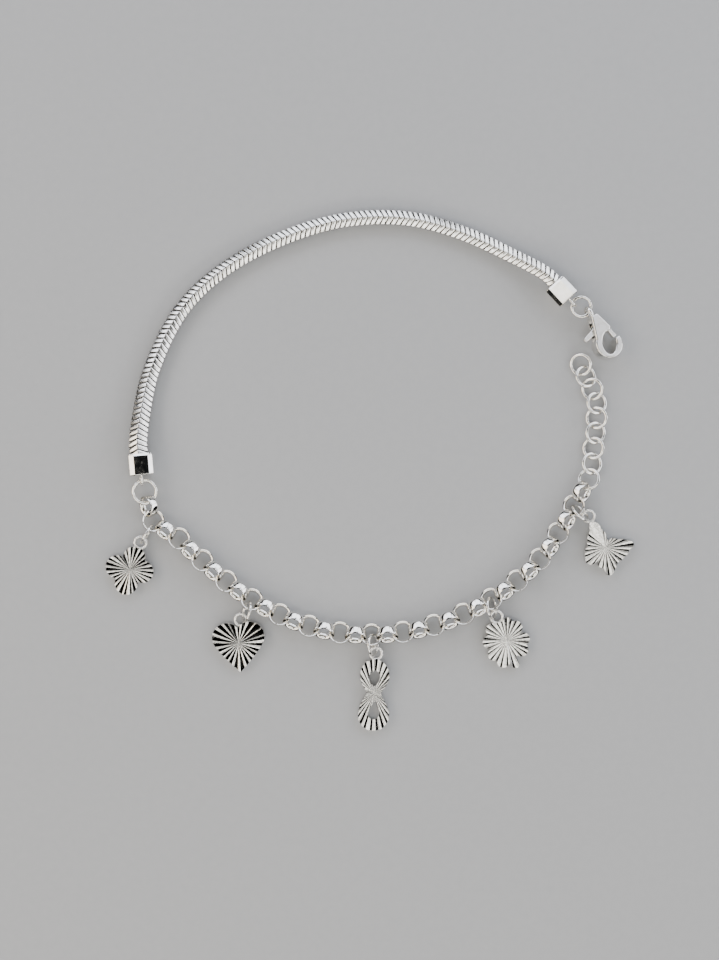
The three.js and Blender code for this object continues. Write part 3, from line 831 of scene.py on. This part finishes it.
# %% The lever
HOLE_RADIUS = 0.37
SLACK = 0.16
lever_outline = [
    *arc(PIVOT, (0.72, 0.72), 115, 240, 16), (3.25, -1.35), (3.75, -2.75), (3.9, -2.86), (4.05, -2.88),
    (4.2, -2.86), (4.35, -2.75), (4.05, -1.35), (3.95, 0.3), (4.5, 1.0), (5.5, 1.25), (5.36, 1.85),
    (4.3, 1.55),
]
lever_plate = slab("lever", lever_outline, SLOT_WIDE - SLACK)
lever_plate = combine(lever_plate, disc(PIVOT, HOLE_RADIUS, BODY_THICK))
lever = object_from("lever_arm", finished(lever_plate, 0.1, segments=3), clasp_place)
keep(lever, "bright_silver", "clasp_lever", body="lever")
print("play round the rivet:", round(HOLE_RADIUS - RIVET_RADIUS, 2), "mm; in the slot:", SLACK, "mm")

# %% [markdown]
# ## The charms
#
# Each charm is a cast plate that a diamond tool has cut from its middle outwards: V grooves that widen
# and deepen towards the rim, between satin lands. Displacement would blur those facets. So a charm is two
# solids and what they share: a disc with the rays cut in it, and the charm's outline made thick. The
# grooves run out over the edge and scallop it. Lands tip a little to one side or the other, as in
# hand-set work, so they flash one by one.

# %% A disc with rays cut in it
THICK = 0.85
# A land falls by this much from its middle line to each side.
CROWN = 0.03
# It tips to one side by up to this, and a land in a turned sector by more.
UNEVEN = 0.02
LEAN = 0.08
# How deep a groove is in a plain sector.
HARDLY_CUT = 0.02
# A groove deepens from the middle to this radius, and then runs level to the disc's rim.
FULL_CUT_RADIUS = 3.2
DISC_RADIUS = 7.0


def in_sector(direction, sectors):
    return any(start <= direction <= stop for start, stop in sectors)


def rayed_disc(rays, first, groove_share, depth, seed, turned=(), plain=()):
    """A disc with lands centred on the first direction and every ray after it. Grooves take their share of
    the ray. Lands in the turned sectors lean far over, and the plain sectors have no real groove."""
    dice = random.Random(seed)
    step = 2 * math.pi / rays
    columns = []
    for i in range(rays):
        middle = math.radians(first) + step * i
        half = step * (1 - groove_share * dice.uniform(0.8, 1.2)) / 2
        tip = dice.uniform(-UNEVEN, UNEVEN)
        direction = (first + 360 / rays * i + 180) % 360 - 180
        if in_sector(direction, turned):
            tip = -math.copysign(LEAN, math.cos(middle))
        columns += [(middle - half, CROWN + tip), (middle, 0.0), (middle + half, CROWN - tip)]
        drop = depth * dice.uniform(0.85, 1.15)
        if in_sector(direction, plain):
            drop = HARDLY_CUT
        columns.append((middle + step / 2 * dice.uniform(0.92, 1.08), drop))
    points, faces = [(0, 0, THICK), (0, 0, 0)], []
    for angle, drop in columns:
        top = THICK - drop
        for reach, z in ((FULL_CUT_RADIUS, top), (DISC_RADIUS, top), (DISC_RADIUS, 0.0)):
            points.append((reach * math.cos(angle), reach * math.sin(angle), z))
    for c in range(len(columns)):
        a, b = 2 + 3 * c, 2 + 3 * ((c + 1) % len(columns))
        faces += [(0, a, b), (a, a + 1, b + 1, b), (a + 1, a + 2, b + 2, b + 1), (1, b + 2, a + 2)]
    return mesh_from("disc", points, faces, CUT)


print("the disc:", 2 * DISC_RADIUS, "mm across,", THICK, "mm thick")

# %% [markdown]
# What the outline and the disc share is the charm's plate. Its rim is eased by a hair. Then every facet
# that slopes across its ray is marked as a groove, which is how the finish knows where to paint a dark
# reflection and where to leave the satin bright.

# %% A plate from its outline
STEP_DEPTH = 0.3


def mark_grooves(mesh):
    """Stores recess 1 on each groove facet: it's neither level nor upright, and it faces across its ray."""
    # The z of a facet's normal is 1 where the facet is level and 0 where it is upright.
    values = []
    for face in mesh.polygons:
        flat = face.normal.xy
        outward = face.center.xy.normalized()
        across = flat.length > 1e-6 and abs(flat.dot(outward)) < 0.5 * flat.length
        values.append(1.0 if across and 0.1 < face.normal.z < 0.94 else 0.0)
    # The finish paints these facets near black: a painted dark reflection.
    mesh.attributes.new("recess", "FLOAT", "FACE").data.foreach_set("value", values)
    print("  groove facets:", int(sum(values)), "of", len(values))


def ray_cut(outline, rayed, holes=(), steps=()):
    """The plate inside the outline, its rim eased, its grooves marked. Steps are cut only in its face."""
    # The slabs of the outline and the holes are thicker than the disc, so they reach right through it.
    plate = combine(slab("plate", outline, 3.0), rayed, "INTERSECT")
    for hole in holes:
        plate = combine(plate, slab("hole", hole, 4.0))
    for step in steps:
        plate = combine(plate, slab("step", step, 2 * STEP_DEPTH, THICK))
    plate = finished(plate, 0.045, sharp=62)
    mark_grooves(plate)
    soften(plate, 10)
    plate.materials.clear()
    plate.materials.append(CUT)
    return plate


# %% [markdown]
# ## Leaves and petals
#
# A quatrefoil and a four-leaved clover are both a ring of round lobes, so one function draws them. It
# looks in every direction from the middle and keeps the farthest lobe that it meets. The plates' outlines
# are all in millimetres, seen from above, with the middle of the rays at 0, 0.

# %% Outlines of round lobes
def lobed(lobes, base, steps=240):
    """The outline of round lobes, each a direction in degrees, a distance from the middle and a radius."""
    points = []
    for angle in np.linspace(0, 2 * math.pi, steps, endpoint=False):
        best = base
        for direction, distance, radius in lobes:
            turn = angle - math.radians(direction)
            aside = distance * math.sin(turn)
            if math.cos(turn) > 0 and abs(aside) < radius:
                best = max(best, distance * math.cos(turn) + math.sqrt(radius**2 - aside**2))
        points.append((best * math.cos(angle), best * math.sin(angle)))
    return points


QUATREFOIL = [(70, 1.75, 1.55), (168, 1.85, 1.6), (254, 2.0, 1.6), (-10, 1.75, 1.55)]
# Two round lobes for each leaf, one below the eye, and the stem at the lower right.
CLOVER = [
    (88, 2.5, 0.7), (56, 2.15, 0.97), (5, 2.35, 0.88), (-32, 2.45, 0.95), (-99, 2.95, 0.9),
    (-131, 2.6, 0.9), (-175, 2.43, 0.92), (144, 2.45, 0.95), (114, 1.95, 0.85), (-68, 2.2, 0.62),
    (-70, 3.5, 0.6), (-84, 2.5, 0.85),
]
print("lobes:", len(QUATREFOIL), "on the quatrefoil,", len(CLOVER), "on the clover")

# %% [markdown]
# ## The heart
#
# A jeweller's heart is two arcs that meet in a notch and two bowed sides that meet in a point. One half
# is drawn and mirrored, and the whole is turned a little, as it hangs.

# %% The heart's outline
def heart_outline():
    lobe_x, lobe_y, radius = 1.6, 0.85, 2.05
    tip, bow_control = np.array((0, -4.05)), np.array((2.3, -1.9))
    notch = math.degrees(math.acos(-lobe_x / radius))
    side = arc((lobe_x, lobe_y), (radius, radius), -28, notch, 24)
    bow = [tip * (1 - t) ** 2 + 2 * t * (1 - t) * bow_control + t**2 * np.array(side[0])
           for t in np.linspace(0, 1, 9)[:-1]]
    right = [tuple(p) for p in bow] + side
    turn = Matrix.Rotation(math.radians(4), 2)
    return [tuple(turn @ Vector(p)) for p in right + [(-x, y) for x, y in reversed(right[1:-1])]]


print("the heart's outline has", len(heart_outline()), "points")

# %% [markdown]
# ## The butterfly and the infinity
#
# These two flow, so each is a smooth closed line through a few points. The infinity is pierced twice, and
# its rays start where its strands cross. The strand from the upper left to the lower right passes over
# the other one, which a shallow step shows.

# %% Outlines that flow
def flowing(points, steps=8):
    """A closed smooth outline through points."""
    ring = through([points[-1], *points, points[0], points[1]], steps)
    return [tuple(p) for p in ring[steps:-2 * steps - 1]]


BUTTERFLY = [
    (0.28, 1.0), (0.5, 1.12), (1.06, 1.36), (1.5, 1.2), (2.0, 1.2), (2.75, 1.12), (3.6, 0.88), (3.97, 0.5),
    (3.88, 0.1), (3.35, -0.25), (3.17, -0.8), (2.48, -1.5), (2.17, -1.86), (1.78, -2.05), (1.55, -2.58),
    (1.4, -2.95), (1.12, -3.57), (0.8, -3.82), (0.2, -3.82), (-0.25, -2.88), (-0.75, -2.75), (-1.02, -2.5),
    (-1.0, -1.8), (-1.6, -2.24), (-2.05, -2.36), (-2.67, -2.1), (-2.85, -1.4), (-2.8, -0.2), (-2.5, 0.12),
    (-2.6, 0.8), (-2.5, 1.6), (-2.28, 2.2), (-2.22, 3.45), (-1.65, 3.62), (-1.0, 3.28), (-0.65, 2.68),
    (0.1, 1.88),
]
INFINITY = [
    (0.1, 4.95), (1.1, 4.6), (1.92, 3.6), (2.15, 2.5), (1.85, 1.4), (1.12, 0.35), (1.02, -0.1), (1.5, -1.05),
    (1.98, -2.2), (2.08, -3.3), (1.75, -4.15), (1.1, -4.85), (0.0, -5.15), (-1.2, -4.85), (-1.95, -4.05),
    (-2.2, -3.1), (-2.05, -2.0), (-1.5, -0.75), (-1.0, 0.1), (-1.4, 0.95), (-1.8, 1.9), (-1.9, 2.8),
    (-1.6, 3.8), (-0.95, 4.6),
]
UPPER_HOLE = [
    (0.1, 3.3), (0.65, 3.0), (0.88, 2.4), (0.6, 1.65), (0.0, 1.1), (-0.42, 1.6), (-0.65, 2.3), (-0.45, 3.0),
]
LOWER_HOLE = [
    (0.1, -0.95), (0.5, -1.75), (0.78, -2.6), (0.55, -3.3), (-0.12, -3.58), (-0.7, -3.3), (-0.84, -2.7),
    (-0.45, -1.75),
]
CROSSING = [(-1.3, 0.72), (-1.2, 0.86), (0.1, 0.34), (0.62, 0.06), (0.55, -0.05), (0.05, 0.2)]
print("points:", len(BUTTERFLY), "round the butterfly,", len(INFINITY), "round the infinity")

# %% [markdown]
# ## The five plates
#
# Each outline meets a disc of its own: the number of rays, the first one's direction, the grooves' share
# and depth, and a seed for the unevenness. The quatrefoil and the heart are cut widest and deepest. One
# wing of the butterfly is left plain.

# %% The plates
PLATES = {
    "quatrefoil": ray_cut(
        lobed(QUATREFOIL, 1.5), rayed_disc(27, -95, 0.5, 0.28, 1, [(-112, -100), (-86, -78), (108, 128)]),
    ),
    "heart": ray_cut(heart_outline(), rayed_disc(23, -89, 0.54, 0.3, 2, [(14, 58), (112, 122)])),
    "clover": ray_cut(lobed(CLOVER, 1.9), rayed_disc(26, -95, 0.34, 0.24, 3)),
    "butterfly": ray_cut(flowing(BUTTERFLY, 3), rayed_disc(24, -90, 0.34, 0.24, 4, plain=[(100, 125)])),
    "infinity": ray_cut(
        flowing(INFINITY), rayed_disc(36, -90, 0.42, 0.24, 5), [flowing(UPPER_HOLE), flowing(LOWER_HOLE)],
        [CROSSING],
    ),
}

# %% [markdown]
# A charm's eye is a small ring of wire soldered to its rim. The jump ring holds it up, so the plate is
# tilted by a few degrees and only its far tip touches the table.

# %% Each charm in its place, with its eye
# x and y of the plate's middle, and where its eye is from there
CHARMS = {
    "quatrefoil": (-33.4, -13.65, (1.45, 3.75)), "heart": (-18.3, -23.9, (0.3, 3.25)),
    "infinity": (0.5, -30.95, (0.3, 5.65)), "clover": (18.95, -23.5, (-1.4, 3.25)),
    "butterfly": (32.7, -10.6, (-2.35, 4.35)),
}
TILT = 4.5


def charm_piece(name, x, y, eye):
    """A charm whose far tip is on the surface and whose eye is held up by its jump ring."""
    ring = ring_mesh(0.82, 0.42, sides=44)
    ring.transform(Matrix.Translation((*eye, THICK / 2)))
    tilt_axis = Vector((*eye, 0)).normalized().cross(Vector((0, 0, 1)))
    tilted = Matrix.Rotation(math.radians(TILT), 4, tilt_axis)
    lowest = min((tilted @ vertex.co).z for vertex in PLATES[name].vertices)
    place = Matrix.Translation((x, y, -lowest)) @ tilted
    return keep(join(f"charm_plate_{name}", [PLATES[name], ring], place), "cut_silver", "charm_" + name)


for name, (x, y, eye) in CHARMS.items():
    charm_piece(name, x, y, eye)

# %% [markdown]
# ## The table
#
# Silver has little colour of its own, so it lies on a sheet of matt paper: pale, but darker than the
# silver's highlights. A plain colour would look empty, so a fine noise gives it the very faint mottle of
# paper fibres.

# %% The floor
HALF_FLOOR = 0.6
CLUMPS_PER_METRE = 900.0


def plain_floor():
    h = HALF_FLOOR
    mesh = bpy.data.meshes.new("floor")
    mesh.from_pydata([(-h, -h, 0), (h, -h, 0), (h, h, 0), (-h, h, 0)], [], [(0, 1, 2, 3)])
    floor = bpy.data.objects.new("floor", mesh)
    scene.collection.objects.link(floor)
    material = bpy.data.materials.new("pale_paper")
    material.use_nodes = True
    tree = material.node_tree
    shader = tree.nodes["Principled BSDF"]
    place = node(tree, "ShaderNodeTexCoord").outputs["Object"]
    grain = node(tree, "ShaderNodeTexNoise", {"Vector": place, "Scale": CLUMPS_PER_METRE, "Detail": 2.0})
    tone = node(tree, "ShaderNodeMix", {
        "Factor": grain.outputs["Fac"], COLOUR_A: linear("a3a4a6"), COLOUR_B: linear("aaabac"),
    }, data_type="RGBA")
    tree.links.new(tone.outputs[MIXED_COLOUR], shader.inputs["Base Color"])
    shader.inputs["Roughness"].default_value = 0.75
    mesh.materials.append(material)
    floor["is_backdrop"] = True


plain_floor()
print("the floor is", 2 * HALF_FLOOR, "m square, with", CLUMPS_PER_METRE, "clumps of fibres to the metre")

# %% [markdown]
# ## Light
#
# Silver shows what stands around it, so the lights decide its look. Seen from above, the sloping sides of
# the chain, the bevels and the wires reflect what stands low around them, so a ring of eight soft boxes
# stands there, warm on the left and cool beyond the top. Three small ones light the left cap's inner
# bevel, the right cap's outer bevel and the broad side of the clasp. What is level reflects what hangs
# overhead: a wide panel for the charms and a small one for the ridge of the chain. The rest is dark, for
# contrast.

# %% Soft boxes
def softbox(name, place, size, watts, colour, aim=(0, 0, 0)):
    light = bpy.data.lights.new(name, "AREA")
    light.shape = "RECTANGLE"
    light.size, light.size_y = size
    light.energy = watts
    light.color = linear(colour)[:3]
    made = bpy.data.objects.new(name, light)
    made.location = place
    made.rotation_euler = (Vector(aim) - Vector(place)).to_track_quat("-Z", "Y").to_euler()
    scene.collection.objects.link(made)


# How far a low box stands from the middle, in metres, as are all the places and sizes of lights.
DISTANCE = 0.4
# Direction in degrees, how wide the box looks, the lowest and the highest angle above the table that it
# fills, its radiance and its colour.
LOW_BOXES = [
    (0, 44, 24, 38, 3.9, "f8f9ff"), (45, 44, 12, 36, 3.9, "f2f6ff"), (90, 44, 14, 42, 3.9, "eef4ff"),
    (135, 44, 20, 42, 3.9, "f4f6ff"), (180, 44, 16, 56, 3.9, "fff4e6"), (225, 44, 24, 42, 3.9, "fff8ee"),
    (270, 44, 24, 42, 3.9, "fffdf8"), (315, 44, 24, 42, 3.9, "fffdf8"),
    (8, 22, 7, 24, 3.9, "f8f9ff"), (47, 20, 37, 55, 2.8, "f2f6ff"), (23, 26, 37, 54, 1.4, "f6f8ff"),
]
for number, (azimuth, wide, low, high, radiance, colour) in enumerate(LOW_BOXES):
    middle = math.radians((low + high) / 2)
    height = DISTANCE * math.radians(high - low)
    width = DISTANCE * math.radians(wide) * math.cos(middle)
    upward = Vector((math.cos(middle), 0, math.sin(middle)))
    direction = Matrix.Rotation(math.radians(azimuth), 3, "Z") @ upward
    watts = radiance * math.pi * width * height
    softbox(f"box_{number}", direction * DISTANCE, (width, height), watts, colour)
softbox("overhead", (0.0, -0.165, 0.5), (0.46, 0.24), 1.0, "fffdf8", (0, -0.165, 0))
softbox("over_the_chain", (-0.015, 0.055, 0.5), (0.17, 0.12), 0.1, "fffdf8", (-0.015, 0.055, 0))
print("lights:", len(LOW_BOXES), "low and 2 overhead")

# %% [markdown]
# A little cool light comes from everywhere, so that nothing is quite black.

# %% Surroundings
world = bpy.data.worlds.new("studio")
scene.world = world
world.use_nodes = True
background = world.node_tree.nodes["Background"]
background.inputs["Color"].default_value = linear("9aa0a8")
background.inputs["Strength"].default_value = 0.02
print("surroundings at a strength of", round(background.inputs["Strength"].default_value, 3))

# %% [markdown]
# ## The camera
#
# The bracelet is laid out flat, so it is seen from straight above, a little over thirty centimetres up,
# with a lens that is long enough not to stretch what lies near the edges.

# %% The camera looks straight down
CAMERA_HEIGHT = 316.3
camera = bpy.data.cameras.new("camera")
camera.lens = 85
camera.sensor_width = 36
view = bpy.data.objects.new("camera", camera)
view.location = (-1.5 * MM, -1.25 * MM, CAMERA_HEIGHT * MM)
scene.collection.objects.link(view)
scene.camera = view
print("the long side of the view is", round(CAMERA_HEIGHT * camera.sensor_width / camera.lens), "mm")

# %% [markdown]
# ## Sizes, and the end
#
# The finer pieces must fill the same box as the imported model, so both boxes are printed side by side.

# %% Print the sizes and finish
def plain(box):
    return [[float(value) for value in corner] for corner in box]


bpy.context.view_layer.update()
for label, box in (("cad", cad_box), ("visual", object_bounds())):
    print(label, [[round(value / MM, 2) for value in corner] for corner in box])
